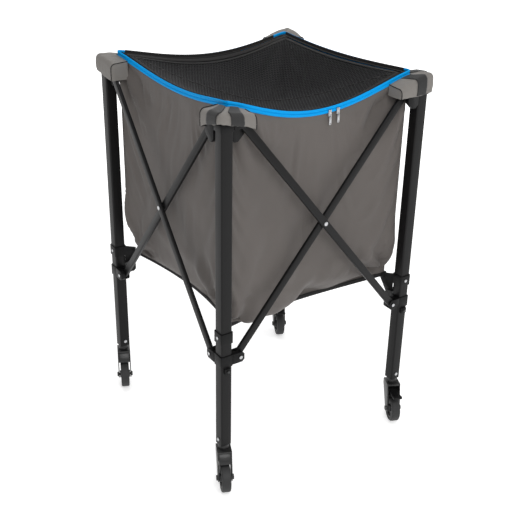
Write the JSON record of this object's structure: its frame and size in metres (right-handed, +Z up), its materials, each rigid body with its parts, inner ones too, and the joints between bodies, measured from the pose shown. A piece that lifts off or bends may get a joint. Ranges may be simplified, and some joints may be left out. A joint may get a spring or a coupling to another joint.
{
  "type": "ball cart",
  "caption": "Square folding scissor frame on swivel casters that holds a deep cloth bag for sports balls, closed by a zipped net lid.",
  "frame": {"origin": "on the floor, under the middle of the four leg tubes", "axes": "+Z up, -Y the front with the zip pulls, +X to the right seen from the front"},
  "size_m": [0.6208, 0.6522, 0.998],
  "materials": {
    "frame_metal": "satin black",
    "frame_plastic": "matt black",
    "tyre": "dark grey",
    "wheel_core": "dark grey",
    "zinc": "zinc plated",
    "cloth": "warm grey woven",
    "cap_cloth": "warm grey woven with dark straps",
    "net": "black mesh",
    "fork": "satin black"
  },
  "bodies": {
    "corner_front_left": {"leg_front_left": "frame_metal", "head_front_left": "frame_plastic", "cap_front_left": "cap_cloth", "bracket_front_left": "frame_plastic", "bag_wall_front": "cloth"},
    "corner_front_right": {"leg_front_right": "frame_metal", "head_front_right": "frame_plastic", "cap_front_right": "cap_cloth", "bracket_front_right": "frame_plastic", "bag_wall_right": "cloth"},
    "corner_back_right": {"leg_back_right": "frame_metal", "head_back_right": "frame_plastic", "cap_back_right": "cap_cloth", "bracket_back_right": "frame_plastic", "bag_wall_back": "cloth"},
    "corner_back_left": {"leg_back_left": "frame_metal", "head_back_left": "frame_plastic", "cap_back_left": "cap_cloth", "bracket_back_left": "frame_plastic", "bag_wall_left": "cloth"},
    "bar_main_front": {"bar_outer_front": "frame_metal", "centre_rivet_front": "zinc"},
    "bar_cross_front": {"bar_inner_front": "frame_metal"},
    "bar_main_left": {"bar_inner_left": "frame_metal", "centre_rivet_left": "zinc"},
    "bar_cross_left": {"bar_outer_left": "frame_metal"},
    "bar_main_right": {"bar_outer_right": "frame_metal", "centre_rivet_right": "zinc"},
    "bar_cross_right": {"bar_inner_right": "frame_metal"},
    "bar_main_back": {"bar_inner_back": "frame_metal", "centre_rivet_back": "zinc"},
    "bar_cross_back": {"bar_outer_back": "frame_metal"},
    "slider_front_left": {"slider_front_left": "frame_plastic"},
    "snap_button_front_left": {"snap_button_front_left": "zinc"},
    "fork_front_left": {"fork_front_left": "fork"},
    "wheel_front_left": {"tyre_front_left": "tyre", "wheel_core_front_left": "wheel_core"},
    "slider_front_right": {"slider_front_right": "frame_plastic"},
    "snap_button_front_right": {"snap_button_front_right": "zinc"},
    "fork_front_right": {"fork_front_right": "fork"},
    "wheel_front_right": {"tyre_front_right": "tyre", "wheel_core_front_right": "wheel_core"},
    "slider_back_right": {"slider_back_right": "frame_plastic"},
    "snap_button_back_right": {"snap_button_back_right": "zinc"},
    "fork_back_right": {"fork_back_right": "fork"},
    "wheel_back_right": {"tyre_back_right": "tyre", "wheel_core_back_right": "wheel_core"},
    "slider_back_left": {"slider_back_left": "frame_plastic"},
    "snap_button_back_left": {"snap_button_back_left": "zinc"},
    "fork_back_left": {"fork_back_left": "fork"},
    "wheel_back_left": {"tyre_back_left": "tyre", "wheel_core_back_left": "wheel_core"},
    "brake_pedal_front_right": {"brake_pedal_front_right": "frame_plastic"},
    "brake_pedal_back_right": {"brake_pedal_back_right": "frame_plastic"},
    "bag_floor": {"bag_floor": "cloth"},
    "lid_hem": {"lid_hem": "cloth"},
    "lid": {"lid_net": "net"},
    "zip_pull_left": {"zip_pull_left": "zinc"},
    "zip_pull_right": {"zip_pull_right": "zinc"}
  },
  "joints": [
    {"name": "fold", "type": "hinge", "parent": "corner_front_left", "child": "bar_main_front", "pos_m": [-0.242, -0.28, 0.957], "axis": [0, 1, 0], "range_deg": [0, 31.39], "deforming": ["bag_wall_front", "bag_wall_left", "bag_wall_right", "bag_wall_back", "bag_floor", "lid_net", "lid_hem"]},
    {"name": "cross_front", "type": "hinge", "parent": "bar_main_front", "child": "bar_cross_front", "pos_m": [0, -0.28, 0.664], "axis": [0, 1, 0], "range_deg": [-62.77, 0]},
    {"name": "hang_front_right", "type": "hinge", "parent": "bar_cross_front", "child": "corner_front_right", "pos_m": [0.242, -0.28, 0.957], "axis": [0, 1, 0], "range_deg": [0, 31.39]},
    {"name": "slide_front_left", "type": "hinge", "parent": "bar_cross_front", "child": "slider_front_left", "pos_m": [-0.242, -0.28, 0.371], "axis": [0, 1, 0], "range_deg": [0, 31.39]},
    {"name": "slide_front_right", "type": "hinge", "parent": "bar_main_front", "child": "slider_front_right", "pos_m": [0.242, -0.28, 0.371], "axis": [0, 1, 0], "range_deg": [-31.39, 0]},
    {"name": "main_left", "type": "hinge", "parent": "corner_front_left", "child": "bar_main_left", "pos_m": [-0.28, -0.242, 0.957], "axis": [-1, 0, 0], "range_deg": [0, 31.39]},
    {"name": "cross_left", "type": "hinge", "parent": "bar_main_left", "child": "bar_cross_left", "pos_m": [-0.28, 0, 0.664], "axis": [-1, 0, 0], "range_deg": [-62.77, 0]},
    {"name": "hang_back_left", "type": "hinge", "parent": "bar_cross_left", "child": "corner_back_left", "pos_m": [-0.28, 0.242, 0.957], "axis": [-1, 0, 0], "range_deg": [0, 31.39]},
    {"name": "slide_back_left", "type": "hinge", "parent": "bar_main_left", "child": "slider_back_left", "pos_m": [-0.28, 0.242, 0.371], "axis": [-1, 0, 0], "range_deg": [-31.39, 0]},
    {"name": "main_right", "type": "hinge", "parent": "corner_front_right", "child": "bar_main_right", "pos_m": [0.28, -0.242, 0.957], "axis": [-1, 0, 0], "range_deg": [0, 31.39]},
    {"name": "cross_right", "type": "hinge", "parent": "bar_main_right", "child": "bar_cross_right", "pos_m": [0.28, 0, 0.664], "axis": [-1, 0, 0], "range_deg": [-62.77, 0]},
    {"name": "hang_back_right", "type": "hinge", "parent": "bar_cross_right", "child": "corner_back_right", "pos_m": [0.28, 0.242, 0.957], "axis": [-1, 0, 0], "range_deg": [0, 31.39]},
    {"name": "slide_back_right", "type": "hinge", "parent": "bar_main_right", "child": "slider_back_right", "pos_m": [0.28, 0.242, 0.371], "axis": [-1, 0, 0], "range_deg": [-31.39, 0]},
    {"name": "main_back", "type": "hinge", "parent": "corner_back_left", "child": "bar_main_back", "pos_m": [-0.242, 0.28, 0.957], "axis": [0, 1, 0], "range_deg": [0, 31.39]},
    {"name": "cross_back", "type": "hinge", "parent": "bar_main_back", "child": "bar_cross_back", "pos_m": [0, 0.28, 0.664], "axis": [0, 1, 0], "range_deg": [-62.77, 0]},
    {"name": "floor_lift", "type": "hinge", "parent": "corner_front_left", "child": "bag_floor", "pos_m": [0, -0.199, 0.418], "axis": [1, 0, 0], "range_deg": [0, 90]},
    {"name": "lid_drop", "type": "hinge", "parent": "corner_back_left", "child": "lid_hem", "pos_m": [0, 0.232, 0.93], "axis": [1, 0, 0], "range_deg": [0, 90]},
    {"name": "lid_open", "type": "hinge", "parent": "lid_hem", "child": "lid", "pos_m": [0, 0.222, 0.962], "axis": [1, 0, 0], "range_deg": [-170, 0]},
    {"name": "snap_button_front_left", "type": "slide", "parent": "slider_front_left", "child": "snap_button_front_left", "axis": [0, 1, 0], "range_m": [0, 0.003], "stiffness_N_per_m": 900},
    {"name": "caster_swivel_front_left", "type": "hinge", "parent": "corner_front_left", "child": "fork_front_left", "pos_m": [-0.28, -0.28, 0.1], "axis": [0, 0, 1], "continuous": true},
    {"name": "wheel_spin_front_left", "type": "hinge", "parent": "fork_front_left", "child": "wheel_front_left", "pos_m": [-0.29285, -0.30821, 0.0375], "axis": [0.91, -0.4147, 0], "continuous": true},
    {"name": "snap_button_front_right", "type": "slide", "parent": "slider_front_right", "child": "snap_button_front_right", "axis": [0, 1, 0], "range_m": [0, 0.003], "stiffness_N_per_m": 900},
    {"name": "caster_swivel_front_right", "type": "hinge", "parent": "corner_front_right", "child": "fork_front_right", "pos_m": [0.28, -0.28, 0.1], "axis": [0, 0, 1], "continuous": true},
    {"name": "wheel_spin_front_right", "type": "hinge", "parent": "fork_front_right", "child": "wheel_front_right", "pos_m": [0.26715, -0.30821, 0.0375], "axis": [0.91, -0.4147, 0], "continuous": true},
    {"name": "snap_button_back_right", "type": "slide", "parent": "slider_back_right", "child": "snap_button_back_right", "axis": [0, -1, 0], "range_m": [0, 0.003], "stiffness_N_per_m": 900},
    {"name": "caster_swivel_back_right", "type": "hinge", "parent": "corner_back_right", "child": "fork_back_right", "pos_m": [0.28, 0.28, 0.1], "axis": [0, 0, 1], "continuous": true},
    {"name": "wheel_spin_back_right", "type": "hinge", "parent": "fork_back_right", "child": "wheel_back_right", "pos_m": [0.26715, 0.25179, 0.0375], "axis": [0.91, -0.4147, 0], "continuous": true},
    {"name": "snap_button_back_left", "type": "slide", "parent": "slider_back_left", "child": "snap_button_back_left", "axis": [0, -1, 0], "range_m": [0, 0.003], "stiffness_N_per_m": 900},
    {"name": "caster_swivel_back_left", "type": "hinge", "parent": "corner_back_left", "child": "fork_back_left", "pos_m": [-0.28, 0.28, 0.1], "axis": [0, 0, 1], "continuous": true},
    {"name": "wheel_spin_back_left", "type": "hinge", "parent": "fork_back_left", "child": "wheel_back_left", "pos_m": [-0.29285, 0.25179, 0.0375], "axis": [0.91, -0.4147, 0], "continuous": true},
    {"name": "brake_front_right", "type": "hinge", "parent": "fork_front_right", "child": "brake_pedal_front_right", "pos_m": [0.27088, -0.30002, 0.089], "axis": [0.91, -0.4147, 0], "range_deg": [0, 20]},
    {"name": "brake_back_right", "type": "hinge", "parent": "fork_back_right", "child": "brake_pedal_back_right", "pos_m": [0.27088, 0.25998, 0.089], "axis": [0.91, -0.4147, 0], "range_deg": [0, 20]},
    {"name": "zip_pull_left", "type": "slide", "parent": "corner_front_left", "child": "zip_pull_left", "axis": [1, 0, 0], "range_m": [-0.2084, 0]},
    {"name": "zip_pull_right", "type": "slide", "parent": "corner_front_left", "child": "zip_pull_right", "axis": [1, 0, 0], "range_m": [-0.2223, 0]}
  ],
  "couplings": [
    {"joint": "cross_front", "follows": "fold", "ratio": -2},
    {"joint": "hang_front_right", "follows": "fold", "ratio": 1},
    {"joint": "slide_front_left", "follows": "fold", "ratio": 1},
    {"joint": "slide_front_right", "follows": "fold", "ratio": -1},
    {"joint": "main_left", "follows": "fold", "ratio": 1},
    {"joint": "cross_left", "follows": "fold", "ratio": -2},
    {"joint": "hang_back_left", "follows": "fold", "ratio": 1},
    {"joint": "slide_back_left", "follows": "fold", "ratio": -1},
    {"joint": "main_right", "follows": "fold", "ratio": 1},
    {"joint": "cross_right", "follows": "fold", "ratio": -2},
    {"joint": "hang_back_right", "follows": "fold", "ratio": 1},
    {"joint": "slide_back_right", "follows": "fold", "ratio": -1},
    {"joint": "main_back", "follows": "fold", "ratio": 1},
    {"joint": "cross_back", "follows": "fold", "ratio": -2},
    {"joint": "floor_lift", "follows": "fold", "ratio": 2.8676},
    {"joint": "lid_drop", "follows": "fold", "ratio": 2.8676},
    {"joint": "zip_pull_left", "follows": "fold", "m_per_rad": -0.3801},
    {"joint": "zip_pull_right", "follows": "fold", "m_per_rad": -0.4054}
  ]
}
